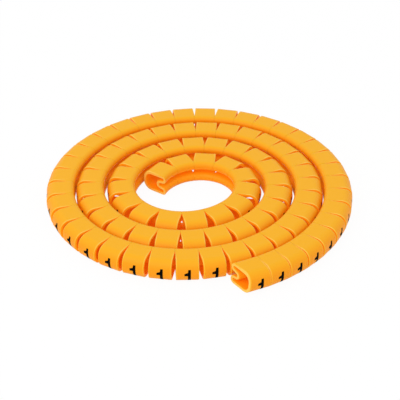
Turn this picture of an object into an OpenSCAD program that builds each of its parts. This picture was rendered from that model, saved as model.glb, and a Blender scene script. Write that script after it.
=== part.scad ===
// Expanding cable marker strip.
// One length of soft tube, folded in along one side so that it can open to the size of a wire.
// Cuts across the tube part it into single markers, which stay joined along the two lips of the fold.
// The strip lies on edge and is wound flat, with the printed faces outward.

/* [Marker] */
// Length of one marker along the strip
marker_length = 5; // [3:0.1:8]
// Width of the tube, from the lips to the printed face
section_width = 6.5; // [5.6:0.1:9]
// Height of the tube
section_height = 5.2; // [5:0.1:8]
// Thickness of the tube's wall
wall = 0.74; // [0.4:0.02:0.86]
// Radius of the two corners beside the printed face
corner_radius = 2.2; // [1:0.1:2.4]

/* [Fold] */
// Depth of the channel between the lips
channel_depth = 2.05; // [1.8:0.05:2.6]
// Outside radius of each lip
lip_radius = 1.05; // [0.95:0.01:1.1]
// Radius of the fold's tip, at the middle of its wall
fold_radius = 0.7; // [0.56:0.02:0.8]

/* [Cuts] */
// Width of a cut while it is closed
cut_width = 0.06; // [0.02:0.02:0.2]
// How far each cut runs on past the floor of the channel
cut_overrun = 0.62; // [0.1:0.02:0.8]
// How far inside the root of a cut the strip bends
hinge_inset = 0.25; // [0.1:0.05:0.6]
// Width of the crease where two markers fold towards each other
crease_width = 0.1; // [0.06:0.02:0.3]
// Depth of that crease
crease_depth = 0.06; // [0.04:0.01:0.12]

/* [Coil] */
// Number of markers on the strip
marker_count = 93; // [20:1:140]
// Radius of the bending line at the inner end
inner_radius = 7.47; // [7:0.01:20]
// Direction of the inner end, seen from above
inner_angle = 161.6; // [0:0.1:360]
// Room between one turn and the next
turn_gap = 0.17; // [0.15:0.01:3]
// Further room that the first turns take, in all, until the coil winds tight
first_slack = 0.87; // [0.6:0.01:3]
// Angle through which the coil turns until it winds tight
slack_angle = 525; // [300:5:720]
// How far the turns are drawn out to an oval
oval = 0.55; // [0:0.05:1.5]
// Direction in which the oval is longest
oval_angle = 28.8; // [0:0.1:180]

/* [Ends] */
// Slant of the cut at the outer end
end_slant = 17; // [0:1:30]
// Share of a marker by which the lips are pressed together at the outer end, where the cuts stay closed
end_closing = 0.14; // [0:0.01:0.14]
// Number of markers over which that comes on
closing_markers = 7; // [1:1:12]

/* [Hidden] */
$fn = 48;
strip_colour = [0.97, 0.70, 0.16];
// How far a cutting shape runs on past what it cuts
past = 1;
// How far the neck of a crease reaches into the marker on each side
neck_grip = 0.1;

// Section of the tube: X runs from the lips out to the printed face, Y runs up from its middle plane
half_height = section_height / 2;
cut_root = channel_depth - cut_overrun;
lip_centre = [lip_radius, half_height - lip_radius];
fold_centre = [channel_depth - fold_radius + wall / 2, 0];
// The fold's wall slopes from lip to tip as the line that is tangent to both
lip_to_fold = fold_centre - lip_centre;
tangent_gap = lip_radius - wall / 2 + fold_radius;
fold_slope = atan2(-lip_to_fold.y, lip_to_fold.x) - asin(tangent_gap / norm(lip_to_fold));
fold_run = sqrt(norm(lip_to_fold) ^ 2 - tangent_gap ^ 2);

// Plan of a marker: X runs along the strip from one hinge to the next, Y runs out from the hinge line
hinge_depth = cut_root - hinge_inset;
face_y = section_width - hinge_depth;
lip_y = -hinge_depth - past;
end_reach = (section_width + past) * tan(end_slant);
function hinge_step(k) =
    marker_length * (1 - end_closing * max(0, 1 - (marker_count - 1 - k) / closing_markers));
// How far a cut leans outward, so that the printed face keeps its length where the lips are pressed together
function lean(k) = (marker_length - hinge_step(k)) / 2 / face_y;

// Course of the hinge line, from the inner end outward, by the angle that the strip has turned through
turn_pitch = section_width + turn_gap;
function radius_at(t) =
    inner_radius + turn_pitch * t / 360 + first_slack * (1 - exp(-(t / slack_angle) ^ 2))
    + oval * cos(2 * (inner_angle - t - oval_angle));
function point_at(t) = radius_at(t) * [cos(inner_angle - t), sin(inner_angle - t)];
function turn_step(t, run, step, tries) =
    tries == 0 ? step : turn_step(t, run, step * run / norm(point_at(t + step) - point_at(t)), tries - 1);
function next_turn(t, run) = t + turn_step(t, run, run / radius_at(t) * 180 / PI, 8);
turns = [for (k = 0, t = 0; k <= marker_count; t = next_turn(t, hinge_step(k)), k = k + 1) t];
hinges = [for (t = turns) point_at(t)];
function heading(k) = let (run = hinges[k + 1] - hinges[k]) atan2(run.y, run.x);
function within_half_turn(a) = a - 360 * round(a / 360);
function bend(k) = within_half_turn(heading(k - 1) - heading(k));

// The coil's own middle, so that the origin lies under the middle of the part
function plan_point(k, x, y) =
    let (a = heading(k)) hinges[k] + [x * cos(a) - y * sin(a), x * sin(a) + y * cos(a)];
face_corners = [
    for (k = [0 : marker_count - 1], side = [-1, 1])
        plan_point(k, (hinge_step(k) + side * (marker_length - cut_width)) / 2, face_y)
];
xs = [for (p = face_corners) p.x];
ys = [for (p = face_corners) p.y];
coil_middle = [min(xs) + max(xs), min(ys) + max(ys)] / 2;

module span(from, to) {
    translate(from) square(to - from);
}

// Frame at the upper lip, with X down along the slope of the fold
module at_fold() {
    translate(lip_centre) rotate(-fold_slope) children();
}

// Upper half of the tube's outline, drawn in by inset, as it would be without the channel
module tube_outline(inset) {
    translate([section_width, half_height] - [corner_radius, corner_radius]) circle(corner_radius - inset);
    translate(lip_centre) circle(lip_radius - inset);
    span([lip_radius, -past], [section_width - corner_radius, half_height - inset]);
    span([lip_radius, -past], [section_width - inset, half_height - corner_radius]);
    at_fold() span([0, inset - lip_radius], [fold_run, 0]);
}

// Upper half of the channel: a slope tangent to the lip, and a round tip
module channel(lip_r, tip_r) {
    at_fold() {
        span([-section_width, -section_height], [fold_run, -lip_r]);
        translate([fold_run, -lip_r - tip_r]) circle(tip_r);
    }
}

// Upper half of the folded tube's wall, made thinner by inset on both sides
module half_section(inset) {
    intersection() {
        difference() {
            tube_outline(inset);
            channel(lip_radius - inset, fold_radius - wall / 2 + inset);
            difference() {
                tube_outline(wall - inset);
                channel(lip_radius - wall + inset, fold_radius + wall / 2 - inset);
            }
        }
        span([-past, 0], [section_width + past, half_height + past]);
    }
}

module section(inset) {
    half_section(inset);
    mirror([0, 1]) half_section(inset);
}

// A 2-D section swept along the strip, from one distance to another
module swept(from, to) {
    translate([from, -hinge_depth, half_height]) rotate([90, 0, 90]) linear_extrude(to - from) children();
}

// How much of a marker the bend takes off beyond its lips, where it folds against its neighbour
function lip_trim(k) =
    (crease_width / 2 + hinge_depth * tan(bend(k) / 2)) * (cut_root + past) / cut_root;

// One side of a marker's plan: the cut from past the printed face to its root, and the mitred lips
function cut_side(k, joint) =
    let (edge = cut_width / 2)
    [
        [edge - (face_y + past) * lean(k), face_y + past],
        [edge - hinge_inset * lean(k), hinge_inset],
        [lip_trim(joint), lip_y]
    ];
function start_side(k) =
    k == 0 ? [[cut_width / 2, face_y + past], [cut_width / 2, lip_y]] : cut_side(k, k);
function end_side(k) =
    let (face_end = (hinge_step(k) + marker_length - cut_width) / 2)
    k == marker_count - 1
    ? [[face_end - past * tan(end_slant), face_y + past], [face_end + end_reach, lip_y]]
    : [for (p = cut_side(k, k + 1)) [hinge_step(k) - p.x, p.y]];
function reversed(list) = [for (i = [len(list) - 1 : -1 : 0]) list[i]];

module marker(k) {
    translate(hinges[k]) rotate(heading(k)) intersection() {
        swept(-past, marker_length + end_reach + past) section(0);
        translate([0, 0, -past]) linear_extrude(section_height + 2 * past)
            polygon(concat(start_side(k), reversed(end_side(k))));
    }
}

// The lips between two markers, pressed in a little where they bend
module crease_neck(k) {
    half = crease_width / 2 + neck_grip;
    translate(hinges[k]) rotate(heading(k) + bend(k) / 2) swept(-half, half) intersection() {
        section(crease_depth);
        span([0, -half_height], [cut_root, half_height]);
    }
}

module marker_strip() {
    color(strip_colour) translate(-coil_middle) {
        for (k = [0 : marker_count - 1]) marker(k);
        for (k = [1 : marker_count - 1]) crease_neck(k);
    }
}

marker_strip();
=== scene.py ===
import math

import bmesh
import bpy
from mathutils import Matrix, Vector


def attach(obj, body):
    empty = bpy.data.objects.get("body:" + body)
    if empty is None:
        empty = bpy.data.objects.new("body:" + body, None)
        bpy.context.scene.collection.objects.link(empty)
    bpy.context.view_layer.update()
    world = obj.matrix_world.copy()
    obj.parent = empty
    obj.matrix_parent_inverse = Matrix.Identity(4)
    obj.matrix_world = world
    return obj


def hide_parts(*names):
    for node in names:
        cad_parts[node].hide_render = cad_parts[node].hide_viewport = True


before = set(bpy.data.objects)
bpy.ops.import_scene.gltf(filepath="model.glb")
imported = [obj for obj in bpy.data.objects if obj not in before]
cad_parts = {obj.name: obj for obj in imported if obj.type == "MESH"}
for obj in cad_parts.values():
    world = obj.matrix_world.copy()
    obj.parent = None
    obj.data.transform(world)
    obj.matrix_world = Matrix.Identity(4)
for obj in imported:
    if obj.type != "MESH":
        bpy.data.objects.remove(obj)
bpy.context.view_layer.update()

# The marker's section and its cuts, in millimetres, with the round of a cut's rim and the width of the band
# beside it that gets a painted highlight
MARKER_LENGTH = 5.0
MARKER_COUNT = 93
SECTION_WIDTH = 6.5
SECTION_HEIGHT = 5.2
WALL = 0.74
CORNER_RADIUS = 2.2
LIP_RADIUS = 1.05
FOLD_RADIUS = 0.7
CHANNEL_DEPTH = 2.05
CUT_DEPTH = 1.43
CUT_WIDTH = 0.06
HINGE_DEPTH = 1.18
RIM_ROUND = 0.1
RIM_HIGHLIGHT_BAND = 0.3

# Course of the coil, in millimetres and degrees, and the tries that find the next hinge on it
INNER_RADIUS = 7.47
INNER_ANGLE = 161.6
TURN_GAP = 0.17
FIRST_SLACK = 0.87
SLACK_ANGLE = 525.0
OVAL = 0.55
OVAL_ANGLE = 28.8
STEP_TRIES = 8

# The outer end: the slant of its cut in plan and its tilt, and how the last cuts are pressed closed
END_SLANT = math.radians(12)
END_TILT = math.radians(4)
END_CLOSING = 0.14
CLOSING_MARKERS = 7

# The printed figure, in millimetres up the printed face and to a reader's right, and its slices
FIGURE_FOOT = -2.5
FIGURE_TOP = 1.1
STEM_WIDTH = 0.64
STEM_CHAMFER = 0.1
FLAG_REACH = 0.72
FLAG_SHOULDER = 0.7
FLAG_DROP = 1.55
FLAG_NOSE = 0.55
INK_PROUD = 0.012
FIGURE_SLICES = 12

# Smoothness of the round stretches of the section and of a marker's length, in steps
CORNER_STEPS = 6
LIP_STEPS = 8
TIP_STEPS = 7
LENGTH_STEPS = 4

# Tones of the plastic, from its deepest orange to its palest: painted shade deepest in the cuts, then in
# the hollow and channel, painted light on top, and the painted highlight that the rims of the cuts add and
# the open ends get
SHADED_NOTCH_TONE = 0.0
SHADED_HOLLOW_TONE = 0.2
SHADED_CHANNEL_TONE = 0.2
FACE_TONE = 0.45
LIT_TOP_TONE = 0.7
RIM_HIGHLIGHT_TONE = 0.3
END_HIGHLIGHT_TONE = 1.0

# Colours of the plastic by its tone, from the deepest painted shade to the palest painted highlight
PLASTIC_SHADE_TO_HIGHLIGHT_COLOURS = [
    (0.0, (0.91, 0.35, 0.006)),
    (0.2, (0.90, 0.33, 0.004)),
    (0.45, (0.87, 0.30, 0.004)),
    (0.7, (0.88, 0.42, 0.012)),
    (1.0, (0.91, 0.55, 0.09))]

# Streaks of the plastic: their scale along, across and up the strip, and how far they shift its tone
STREAK_SCALE = (0.12, 5.0, 5.0)
STREAK_DETAIL = 3.0
STREAK_TONE = 0.03

# Surface of the plastic: its roughness from streak to streak, its shine, and its relief in metres
PLASTIC_ROUGHNESS = (0.36, 0.50)
PLASTIC_IOR = 1.5
PLASTIC_SHINE = 0.13
RELIEF_STRENGTH = 0.12
RELIEF_DEPTH = 0.00005

# A painted glow, standing in for the light that comes through the thin walls, as it shows inside the tube
# and in the cuts
WALL_GLOW = 0.12
GLOW_COLOUR = (1.0, 0.4, 0.01, 1)

# The ink: the size of its patches, its two shades and its surface
INK_PATCHES = 900.0
INK_SHADES = [(0.001, 0.001, 0.001, 1), (0.004, 0.003, 0.002, 1)]
INK_ROUGHNESS = 0.6
INK_SHINE = 0.02

# The studio: its surround, its floor, the lamp at the left front (metres and watts) and light's bounces
WHITE = (1, 1, 1, 1)
WORLD_LIGHT = 0.9
SEEN_LIGHT = 1.0
FLOOR_COLOUR = (0.95, 0.95, 0.95, 1)
FLOOR_ROUGHNESS = 0.9
FLOOR_GLOW = 0.95
FLOOR_REACH = 1.5
FLOOR_DROP = 0.00002
LAMP_PLACE = (-0.28, -0.34, 0.42)
LAMP_SIZE = 0.5
LAMP_POWER = 1.1
LIGHT_BOUNCES = 12

# The camera, in millimetres and degrees, from the point on the floor under the coil's axis
CAMERA_DISTANCE = 301.8
CAMERA_ELEVATION = 34.77
CAMERA_LENS = 116.73
CAMERA_SHIFT = (0.02, 0.0009)
CAMERA_NEAR = 0.01

# Distances that count as none, in millimetres, in comparing, cutting and welding
TINY = 1e-4
CUT_TOLERANCE = 1e-5
WELD_DISTANCE = 1e-3

# Shares of the wall's depth: a face over more than the first is a cut's, one past the second is inside
CUT_SHARE = 0.4
INSIDE_SHARE = 0.5

# How far a wall has to face the lips to lie at the end of the channel, and how fast the painted shade
# deepens into the channel
LIPWARD = -0.5
CHANNEL_SHADE_RATE = 2

MM = 0.001
ROOT_Y = CUT_DEPTH - HINGE_DEPTH
FACE_Y = SECTION_WIDTH - HINGE_DEPTH
SHOULDER_Y = FACE_Y - CORNER_RADIUS
MID_HEIGHT = SECTION_HEIGHT / 2
LIP_CENTRE = Vector((LIP_RADIUS, SECTION_HEIGHT - LIP_RADIUS))
FOLD_CENTRE = Vector((CHANNEL_DEPTH - FOLD_RADIUS + WALL / 2, MID_HEIGHT))
TIP_RADIUS = FOLD_RADIUS - WALL / 2


# The course of the coil

def hinge_step(k):
    """Distance between the hinges of a marker, which is less where the lips are pressed together."""
    to_end = (MARKER_COUNT - 1 - k) / CLOSING_MARKERS
    return MARKER_LENGTH * (1 - END_CLOSING * max(0, 1 - to_end))


def coil_point(turned):
    """Point of the bending line, by the angle turned through from the inner end."""
    angle = math.radians(INNER_ANGLE - turned)
    radius = INNER_RADIUS + (SECTION_WIDTH + TURN_GAP) * turned / 360
    radius += FIRST_SLACK * (1 - math.exp(-(turned / SLACK_ANGLE) ** 2))
    radius += OVAL * math.cos(2 * (angle - math.radians(OVAL_ANGLE)))
    return Vector((radius * math.cos(angle), radius * math.sin(angle)))


def coil_hinges():
    """The hinge points between the markers, from the inner end outward."""
    turned = 0.0
    hinges = [coil_point(turned)]
    for k in range(MARKER_COUNT):
        run = hinge_step(k)
        step = math.degrees(run / hinges[-1].length)
        for _ in range(STEP_TRIES):
            step *= run / (coil_point(turned + step) - hinges[-1]).length
        turned += step
        hinges.append(coil_point(turned))
    return hinges


def coil_frames():
    """One matrix per marker, with X along the strip and Y out from the bending line, and the coil's axis.

    The middle of the coil's box lies at the origin.
    """
    hinges = coil_hinges()
    frames = []
    for start, end in zip(hinges, hinges[1:]):
        run = end - start
        turn = Matrix.Rotation(math.atan2(run.y, run.x), 4, "Z")
        frames.append(Matrix.Translation(start.to_3d()) @ turn)
    half_face = (MARKER_LENGTH - CUT_WIDTH) / 2
    corners = []
    for k, place in enumerate(frames):
        for side in (-half_face, half_face):
            corners.append(place @ Vector((hinge_step(k) / 2 + side, FACE_Y, 0)))
    middle = Vector((
        (min(c.x for c in corners) + max(c.x for c in corners)) / 2,
        (min(c.y for c in corners) + max(c.y for c in corners)) / 2,
        0))
    return [Matrix.Translation(-middle) @ m for m in frames], -middle


def bend_between(before, after):
    """The angle by which the strip turns from one marker to the next."""
    return before.to_3x3().col[0].angle(after.to_3x3().col[0])


# The strip

def section_place(across, up):
    """A point of the section, given from the lips outward and from the floor up."""
    return Vector((0, across - HINGE_DEPTH, up))


def fold_slope():
    """Slope of the fold's wall: the line that is tangent to the lip and to the fold's tip."""
    across = FOLD_CENTRE - LIP_CENTRE
    apart = LIP_RADIUS - WALL / 2 + FOLD_RADIUS
    return math.atan2(-across.y, across.x) - math.asin(apart / across.length)


def draw_line(bm, pen, across, up):
    """Draws a straight stretch of wall from the pen and returns the pen at its end."""
    end = bmesh.ops.extrude_vert_indiv(bm, verts=[pen])["verts"][0]
    end.co = section_place(across, up)
    return end


def draw_arc(bm, pen, centre, turn, steps):
    """Draws a round stretch of wall from the pen and returns the pen at its end."""
    made = bmesh.ops.spin(
        bm, geom=[pen], cent=section_place(*centre), axis=(1, 0, 0), dvec=(0, 0, 0),
        angle=turn, steps=steps)
    return next(v for v in made["geom_last"] if isinstance(v, bmesh.types.BMVert))


def draw_outline(bm):
    """Draws the closed outline of the folded tube and returns its edges."""
    slope = fold_slope()
    along = Vector((math.sin(slope), math.cos(slope)))
    far = SECTION_WIDTH - CORNER_RADIUS
    low_lip = (LIP_RADIUS, LIP_RADIUS)
    tip_start = FOLD_CENTRE + TIP_RADIUS * Vector((along.x, -along.y))
    lip_start = LIP_CENTRE - LIP_RADIUS * along

    pen = bm.verts.new(section_place(LIP_RADIUS, SECTION_HEIGHT))
    pen = draw_line(bm, pen, far, SECTION_HEIGHT)
    pen = draw_arc(bm, pen, (far, SECTION_HEIGHT - CORNER_RADIUS), -math.pi / 2, CORNER_STEPS)
    pen = draw_line(bm, pen, SECTION_WIDTH, CORNER_RADIUS)
    pen = draw_arc(bm, pen, (far, CORNER_RADIUS), -math.pi / 2, CORNER_STEPS)
    pen = draw_line(bm, pen, LIP_RADIUS, 0)
    pen = draw_arc(bm, pen, low_lip, slope - math.pi, LIP_STEPS)
    pen = draw_line(bm, pen, *tip_start)
    pen = draw_arc(bm, pen, FOLD_CENTRE, math.pi - 2 * slope, TIP_STEPS)
    pen = draw_line(bm, pen, *lip_start)
    draw_arc(bm, pen, LIP_CENTRE, slope - math.pi, LIP_STEPS)
    bmesh.ops.remove_doubles(bm, verts=bm.verts[:], dist=TINY)
    return bm.edges[:]


def through_wall(place):
    """Direction from a point of the outline through the wall, by the round stretch that it lies on."""
    far = SECTION_WIDTH - CORNER_RADIUS
    rounds = [
        (far, CORNER_RADIUS, CORNER_RADIUS),
        (far, SECTION_HEIGHT - CORNER_RADIUS, CORNER_RADIUS),
        (LIP_RADIUS, LIP_RADIUS, LIP_RADIUS),
        (*LIP_CENTRE, LIP_RADIUS),
        (*FOLD_CENTRE, -TIP_RADIUS)]
    for across, up, radius in rounds:
        inward = (section_place(across, up) - place) / radius
        if abs(inward.length - 1) < TINY:
            return inward


def length_stations():
    """Distances along a marker at which its wall is drawn, each with how far it is drawn in there."""
    near = [(0, RIM_ROUND), (RIM_ROUND, 0), (RIM_HIGHLIGHT_BAND, 0)]
    between = [(MARKER_LENGTH * step / LENGTH_STEPS, 0) for step in range(1, LENGTH_STEPS)]
    return near + between + [(MARKER_LENGTH - x, inset) for x, inset in reversed(near)]


def painted_light_tone(place, outward):
    """Painted light and shade of the tube's outside by which way it faces: painted shade deeper in the
    channel, painted light palest on top.
    """
    away = outward.z * math.copysign(1, place.z - MID_HEIGHT)
    if away < 0:
        return FACE_TONE + (SHADED_CHANNEL_TONE - FACE_TONE) * min(1, -CHANNEL_SHADE_RATE * away)
    if outward.y < LIPWARD and place.y > LIP_RADIUS - HINGE_DEPTH:
        return SHADED_CHANNEL_TONE
    return FACE_TONE + (LIT_TOP_TONE - FACE_TONE) * away ** 2


def beside_cut(place):
    """Whether a point of a straight marker lies in the band beside a cut that gets a painted highlight."""
    return min(place.x, MARKER_LENGTH - place.x) < RIM_HIGHLIGHT_BAND / 2


def slice_across(bm, place, direction):
    """Cuts every face along a plane and keeps both sides."""
    bmesh.ops.bisect_plane(
        bm, geom=bm.verts[:] + bm.edges[:] + bm.faces[:], dist=CUT_TOLERANCE,
        plane_co=place, plane_no=direction)


def single_marker():
    """Makes the mesh of one straight marker in its own frame, with rims drawn in at its two cuts and a tone
    of painted light and shade on each face corner.
    """
    bm = bmesh.new()
    into_wall = bm.verts.layers.float_vector.new("into_wall")
    depth = bm.verts.layers.float.new("depth")
    lips = bm.verts.layers.float.new("lips")
    tone = bm.loops.layers.float.new("tone")
    outline = draw_outline(bm)
    for vert in bm.verts:
        vert[into_wall] = through_wall(vert.co)
    made = bmesh.ops.extrude_edge_only(bm, edges=outline)["geom"]
    for vert in [g for g in made if isinstance(g, bmesh.types.BMVert)]:
        vert.co += WALL * Vector(vert[into_wall])
        vert[into_wall] = -Vector(vert[into_wall])
        vert[depth] = 1.0
    slice_across(bm, (0, ROOT_Y, 0), (0, 1, 0))
    for vert in bm.verts:
        vert[lips] = 1.0 if vert.co.y < ROOT_Y + TINY else 0.0

    stations = length_stations()
    first_ring = ring = bm.faces[:]
    for (x, _), (x_next, _) in zip(stations, stations[1:]):
        made = bmesh.ops.extrude_face_region(bm, geom=ring)["geom"]
        moved = [g for g in made if isinstance(g, bmesh.types.BMVert)]
        bmesh.ops.translate(bm, verts=moved, vec=(x_next - x, 0, 0))
        if ring is not first_ring:
            bmesh.ops.delete(bm, geom=ring, context="FACES")
        ring = [g for g in made if isinstance(g, bmesh.types.BMFace)]
    # Painted light and shade by tone: the cut faces get the deepest painted shade, the hollow painted
    # shade, and the outside painted light and shade by which way it faces
    for face in bm.faces:
        depths = [v[depth] for v in face.verts]
        cut = max(depths) - min(depths) > CUT_SHARE
        face.smooth = not cut
        for loop in face.loops:
            if cut:
                loop[tone] = SHADED_NOTCH_TONE
            elif min(depths) > INSIDE_SHARE:
                loop[tone] = SHADED_HOLLOW_TONE
            else:
                loop[tone] = painted_light_tone(loop.vert.co, -Vector(loop.vert[into_wall]))
                # The band beside each cut, outside the lips, is made paler: a painted highlight
                if beside_cut(loop.vert.co) and not loop.vert[lips]:
                    loop[tone] += RIM_HIGHLIGHT_TONE
    for vert in bm.verts:
        inset = next(i for x, i in stations if abs(x - vert.co.x) < TINY)
        vert.co += Vector(vert[into_wall]) * inset
    bm.verts.layers.float_vector.remove(into_wall)
    bm.verts.layers.float.remove(bm.verts.layers.float["depth"])
    bmesh.ops.recalc_face_normals(bm, faces=bm.faces[:])
    mesh = bpy.data.meshes.new("single_marker")
    bm.to_mesh(mesh)
    bm.free()
    return mesh


def start_edge(k, y, in_lips, bend):
    """Where a marker starts at a distance from the bending line: at its cut, or at its neighbour's lips."""
    if in_lips and k > 0:
        return -y * math.tan(bend / 2)
    lean = (MARKER_LENGTH - hinge_step(k)) / 2 / FACE_Y
    return CUT_WIDTH / 2 - lean * y


def end_edge(k, y, up, in_lips, bend):
    """Where a marker ends at a distance from the bending line and a height."""
    if k == MARKER_COUNT - 1:
        face_end = (hinge_step(k) + MARKER_LENGTH - CUT_WIDTH) / 2
        return face_end + (FACE_Y - y) * math.tan(END_SLANT) - (up - MID_HEIGHT) * math.tan(END_TILT)
    return hinge_step(k) - start_edge(k + 1 if in_lips else k, y, in_lips, bend)


def fit_marker(vert, in_lips, k, start_bend, end_bend):
    """Moves a vertex of a straight marker to where the coil bends it, with the lips in a smooth curve."""
    share = vert.co.x / MARKER_LENGTH
    start = start_edge(k, vert.co.y, in_lips, start_bend)
    end = end_edge(k, vert.co.y, vert.co.z, in_lips, end_bend)
    # A bow of this length and bend stands an eighth of their product off its chord
    crown = hinge_step(k) * max(start_bend, end_bend) / 8
    hold = min(1, max(0, (SHOULDER_Y - vert.co.y) / (SHOULDER_Y - ROOT_Y)))
    vert.co.x = start + (end - start) * share
    vert.co.y += crown * hold * 4 * share * (1 - share)


def marker_strip(frames):
    """Makes the whole strip: the markers one after another, welded along the lips."""
    template = single_marker()
    bm = bmesh.new()
    strip_place = bm.verts.layers.float_vector.new("strip_place")
    bends = [0] + [bend_between(a, b) for a, b in zip(frames, frames[1:])] + [0]
    hidden = []
    for k, place in enumerate(frames):
        first_vert, first_face = len(bm.verts), len(bm.faces)
        bm.from_mesh(template)
        bm.verts.ensure_lookup_table()
        bm.faces.ensure_lookup_table()
        lips = bm.verts.layers.float["lips"]
        tone = bm.loops.layers.float["tone"]
        verts, faces = bm.verts[first_vert:], bm.faces[first_face:]
        for face in faces:
            xs = [v.co.x for v in face.verts]
            at_start, at_end = max(xs) < TINY, min(xs) > MARKER_LENGTH - TINY
            open_end = (at_start and k == 0) or (at_end and k == MARKER_COUNT - 1)
            # The open faces at both ends of the strip get the palest tone, a painted highlight
            if open_end:
                for loop in face.loops:
                    loop[tone] = END_HIGHLIGHT_TONE
            elif (at_start or at_end) and all(v[lips] for v in face.verts):
                hidden.append(face)
        for vert in verts:
            vert[strip_place] = vert.co + Vector((k * MARKER_LENGTH, 0, 0))
            fit_marker(vert, bool(vert[lips]), k, bends[k], bends[k + 1])
        bmesh.ops.transform(bm, matrix=place, verts=verts)
    bmesh.ops.delete(bm, geom=hidden, context="FACES")
    bm.verts.layers.float.remove(bm.verts.layers.float["lips"])
    bmesh.ops.remove_doubles(bm, verts=bm.verts[:], dist=WELD_DISTANCE)
    bmesh.ops.scale(bm, vec=(MM, MM, MM), verts=bm.verts[:])
    piece = new_piece("marker_strip_moulding", bm)
    normals = piece.modifiers.new("even_walls", "WEIGHTED_NORMAL")
    normals.keep_sharp = True
    bpy.data.meshes.remove(template)
    return piece


# The print

def on_printed_face(x, up, proud):
    """A point over the printed face: x along the marker, up measured over the face from its middle."""
    flat = MID_HEIGHT - CORNER_RADIUS
    past = abs(up) - flat
    radius = CORNER_RADIUS + proud
    if past <= 0:
        return Vector((x, FACE_Y + proud, MID_HEIGHT + up))
    turn = past / CORNER_RADIUS
    rise = math.copysign(flat + radius * math.sin(turn), up)
    return Vector((x, SHOULDER_Y + radius * math.cos(turn), MID_HEIGHT + rise))


def single_figure():
    """Makes the mesh of one printed figure, laid over a printed face, with its middle at the hinge."""
    right = (STEM_WIDTH + FLAG_REACH) / 2
    stem_left = right - STEM_WIDTH
    under_flag = FIGURE_TOP - FLAG_DROP
    outline = [
        (right, FIGURE_FOOT),
        (right, FIGURE_TOP),
        (stem_left + STEM_CHAMFER, FIGURE_TOP),
        (stem_left, FIGURE_TOP - FLAG_SHOULDER),
        (-right, under_flag + FLAG_NOSE),
        (-right, under_flag),
        (stem_left, under_flag),
        (stem_left, FIGURE_FOOT)]
    bm = bmesh.new()
    bm.faces.new([bm.verts.new((-across, up, 0)) for across, up in outline])
    for step in range(1, FIGURE_SLICES):
        height = FIGURE_FOOT + (FIGURE_TOP - FIGURE_FOOT) * step / FIGURE_SLICES
        slice_across(bm, (0, height, 0), (0, 1, 0))
    made = bmesh.ops.extrude_face_region(bm, geom=bm.faces[:])["geom"]
    film = {g for g in made if isinstance(g, bmesh.types.BMVert)}
    for vert in bm.verts:
        proud = INK_PROUD if vert in film else -INK_PROUD
        vert.co = on_printed_face(vert.co.x, vert.co.y, proud)
    bmesh.ops.recalc_face_normals(bm, faces=bm.faces[:])
    mesh = bpy.data.meshes.new("single_figure")
    bm.to_mesh(mesh)
    bm.free()
    return mesh


def printed_figures(frames):
    """Makes the printed figures of all the markers."""
    template = single_figure()
    bm = bmesh.new()
    for k, place in enumerate(frames):
        first_vert = len(bm.verts)
        bm.from_mesh(template)
        bm.verts.ensure_lookup_table()
        face_middle = place @ Matrix.Translation((hinge_step(k) / 2, 0, 0))
        bmesh.ops.transform(bm, matrix=face_middle, verts=bm.verts[first_vert:])
    bmesh.ops.scale(bm, vec=(MM, MM, MM), verts=bm.verts[:])
    bpy.data.meshes.remove(template)
    return new_piece("printed_figures", bm)


def new_piece(name, bm):
    """Turns a finished bmesh into an object of the scene."""
    mesh = bpy.data.meshes.new(name)
    bm.to_mesh(mesh)
    bm.free()
    piece = bpy.data.objects.new(name, mesh)
    bpy.context.scene.collection.objects.link(piece)
    return piece


# Finishes

def add_node(tree, kind, **values):
    """Adds a node to a tree and sets its plain properties."""
    node = tree.nodes.new(kind)
    for key, value in values.items():
        setattr(node, key, value)
    return node


def new_finish(name):
    """A material with its surface shader, and the shader."""
    material = bpy.data.materials.new(name)
    material.use_nodes = True
    return material, material.node_tree.nodes["Principled BSDF"]


def seen_rays(tree):
    """A value that is 1 where the eye, a reflection or a clear piece looks straight at the surface."""
    rays = add_node(tree, "ShaderNodeLightPath")
    glossy = add_node(tree, "ShaderNodeMath", operation="ADD")
    clear = add_node(tree, "ShaderNodeMath", operation="ADD", use_clamp=True)
    tree.links.new(rays.outputs["Is Camera Ray"], glossy.inputs[0])
    tree.links.new(rays.outputs["Is Glossy Ray"], glossy.inputs[1])
    tree.links.new(glossy.outputs["Value"], clear.inputs[0])
    tree.links.new(rays.outputs["Is Transmission Ray"], clear.inputs[1])
    return clear.outputs["Value"]


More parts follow.
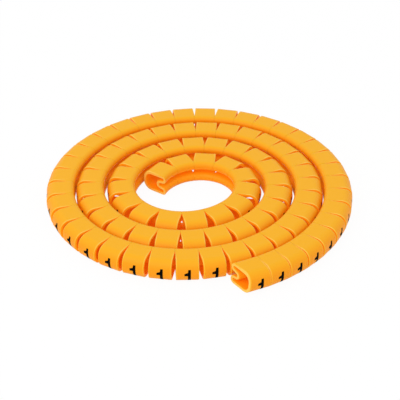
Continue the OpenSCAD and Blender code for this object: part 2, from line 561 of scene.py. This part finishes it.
def soft_plastic():
    """Satin soft plastic in orange-yellow, with faint streaks along the strip as it was drawn, its colour
    painted with light and shade by tone, and a painted glow in the hollows and cuts.
    """
    material, shader = new_finish("soft_orange_plastic")
    tree = material.node_tree
    tone = add_node(tree, "ShaderNodeAttribute", attribute_name="tone")
    along = add_node(tree, "ShaderNodeAttribute", attribute_name="strip_place")
    stretch = add_node(tree, "ShaderNodeMapping")
    stretch.inputs["Scale"].default_value = STREAK_SCALE
    streaks = add_node(tree, "ShaderNodeTexNoise")
    streaks.inputs["Scale"].default_value = 1.0
    streaks.inputs["Detail"].default_value = STREAK_DETAIL
    tree.links.new(along.outputs["Vector"], stretch.inputs["Vector"])
    tree.links.new(stretch.outputs["Vector"], streaks.inputs["Vector"])

    drift = add_node(tree, "ShaderNodeMapRange")
    drift.inputs["To Min"].default_value = -STREAK_TONE
    drift.inputs["To Max"].default_value = STREAK_TONE
    shade = add_node(tree, "ShaderNodeMath", operation="ADD")
    # The tone ramp paints shade and highlight into the base colour
    colour = add_node(tree, "ShaderNodeValToRGB")
    ramp = colour.color_ramp
    while len(ramp.elements) < len(PLASTIC_SHADE_TO_HIGHLIGHT_COLOURS):
        ramp.elements.new(0.5)
    for stop, (position, paint) in zip(ramp.elements, PLASTIC_SHADE_TO_HIGHLIGHT_COLOURS):
        stop.position = position
        stop.color = (*paint, 1)
    tree.links.new(streaks.outputs["Fac"], drift.inputs["Value"])
    tree.links.new(tone.outputs["Fac"], shade.inputs[0])
    tree.links.new(drift.outputs["Result"], shade.inputs[1])
    tree.links.new(shade.outputs["Value"], colour.inputs["Fac"])
    tree.links.new(colour.outputs["Color"], shader.inputs["Base Color"])

    gloss = add_node(tree, "ShaderNodeMapRange")
    gloss.inputs["To Min"].default_value = PLASTIC_ROUGHNESS[0]
    gloss.inputs["To Max"].default_value = PLASTIC_ROUGHNESS[1]
    tree.links.new(streaks.outputs["Fac"], gloss.inputs["Value"])
    tree.links.new(gloss.outputs["Result"], shader.inputs["Roughness"])

    skin = add_node(tree, "ShaderNodeBump")
    skin.inputs["Strength"].default_value = RELIEF_STRENGTH
    skin.inputs["Distance"].default_value = RELIEF_DEPTH
    tree.links.new(streaks.outputs["Fac"], skin.inputs["Height"])
    tree.links.new(skin.outputs["Normal"], shader.inputs["Normal"])

    # Painted glow: emission that grows from the lit top's tone to the shaded cuts' tone
    through = add_node(tree, "ShaderNodeMapRange")
    through.inputs["From Min"].default_value = LIT_TOP_TONE
    through.inputs["From Max"].default_value = SHADED_NOTCH_TONE
    through.inputs["To Max"].default_value = WALL_GLOW
    tree.links.new(tone.outputs["Fac"], through.inputs["Value"])
    tree.links.new(through.outputs["Result"], shader.inputs["Emission Strength"])
    shader.inputs["Emission Color"].default_value = GLOW_COLOUR

    shader.inputs["IOR"].default_value = PLASTIC_IOR
    shader.inputs["Specular IOR Level"].default_value = PLASTIC_SHINE
    return material


def printing_ink():
    """Matt black ink, a little uneven."""
    material, shader = new_finish("black_ink")
    tree = material.node_tree
    place = add_node(tree, "ShaderNodeTexCoord")
    patches = add_node(tree, "ShaderNodeTexNoise")
    patches.inputs["Scale"].default_value = INK_PATCHES
    tone = add_node(tree, "ShaderNodeValToRGB")
    for stop, shade in zip(tone.color_ramp.elements, INK_SHADES):
        stop.color = shade
    tree.links.new(place.outputs["Object"], patches.inputs["Vector"])
    tree.links.new(patches.outputs["Fac"], tone.inputs["Fac"])
    tree.links.new(tone.outputs["Color"], shader.inputs["Base Color"])
    shader.inputs["Roughness"].default_value = INK_ROUGHNESS
    shader.inputs["Specular IOR Level"].default_value = INK_SHINE
    return material


def white_paper():
    """White floor that looks pure white and keeps a trace of shadow."""
    material, shader = new_finish("white_floor")
    tree = material.node_tree
    shader.inputs["Base Color"].default_value = FLOOR_COLOUR
    shader.inputs["Roughness"].default_value = FLOOR_ROUGHNESS
    shader.inputs["Specular IOR Level"].default_value = 0.0
    glow = add_node(tree, "ShaderNodeEmission")
    share = add_node(tree, "ShaderNodeMath", operation="MULTIPLY")
    share.inputs[1].default_value = FLOOR_GLOW
    mix = add_node(tree, "ShaderNodeMixShader")
    tree.links.new(seen_rays(tree), share.inputs[0])
    tree.links.new(share.outputs["Value"], mix.inputs["Fac"])
    tree.links.new(shader.outputs["BSDF"], mix.inputs[1])
    tree.links.new(glow.outputs["Emission"], mix.inputs[2])
    tree.links.new(mix.outputs["Shader"], tree.nodes["Material Output"].inputs["Surface"])
    return material


# The studio

def white_world():
    """An even white surround."""
    world = bpy.data.worlds.new("white_surround")
    bpy.context.scene.world = world
    world.use_nodes = True
    tree = world.node_tree
    soft = tree.nodes["Background"]
    soft.inputs["Color"].default_value = WHITE
    soft.inputs["Strength"].default_value = WORLD_LIGHT
    seen = add_node(tree, "ShaderNodeBackground")
    seen.inputs["Color"].default_value = WHITE
    seen.inputs["Strength"].default_value = SEEN_LIGHT
    mix = add_node(tree, "ShaderNodeMixShader")
    tree.links.new(seen_rays(tree), mix.inputs["Fac"])
    tree.links.new(soft.outputs["Background"], mix.inputs[1])
    tree.links.new(seen.outputs["Background"], mix.inputs[2])
    tree.links.new(mix.outputs["Shader"], tree.nodes["World Output"].inputs["Surface"])


def soft_box(name, place, size, power):
    """A square lamp that faces the middle of the floor."""
    lamp = bpy.data.lights.new(name, "AREA")
    lamp.size = size
    lamp.energy = power
    holder = bpy.data.objects.new(name, lamp)
    holder.location = place
    holder.rotation_euler = (-Vector(place)).to_track_quat("-Z", "Y").to_euler()
    bpy.context.scene.collection.objects.link(holder)


def floor():
    """A wide white floor, just under the strip."""
    bm = bmesh.new()
    bmesh.ops.create_grid(bm, x_segments=1, y_segments=1, size=FLOOR_REACH)
    bmesh.ops.translate(bm, verts=bm.verts[:], vec=(0, 0, -FLOOR_DROP))
    piece = new_piece("floor", bm)
    piece.data.materials.append(white_paper())


def camera(axis):
    """The camera, at the photograph's viewing angle."""
    eye = bpy.data.cameras.new("camera")
    eye.lens = CAMERA_LENS
    eye.shift_x, eye.shift_y = CAMERA_SHIFT
    eye.clip_start = CAMERA_NEAR
    holder = bpy.data.objects.new("camera", eye)
    tilt = math.radians(CAMERA_ELEVATION)
    back = Vector((0, -math.cos(tilt), math.sin(tilt))) * CAMERA_DISTANCE
    holder.location = (axis + back) * MM
    holder.rotation_euler = (math.pi / 2 - tilt, 0, 0)
    bpy.context.scene.collection.objects.link(holder)
    bpy.context.scene.camera = holder


frames, coil_axis = coil_frames()
camera(coil_axis)

strip = marker_strip(frames)
strip.data.materials.append(soft_plastic())
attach(strip, "root")
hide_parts("marker_strip")

print_layer = printed_figures(frames)
print_layer.data.materials.append(printing_ink())
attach(print_layer, "root")

floor()
white_world()
soft_box("left_front_light", LAMP_PLACE, LAMP_SIZE, LAMP_POWER)

bpy.context.scene.view_settings.view_transform = "Standard"
bpy.context.scene.cycles.diffuse_bounces = LIGHT_BOUNCES
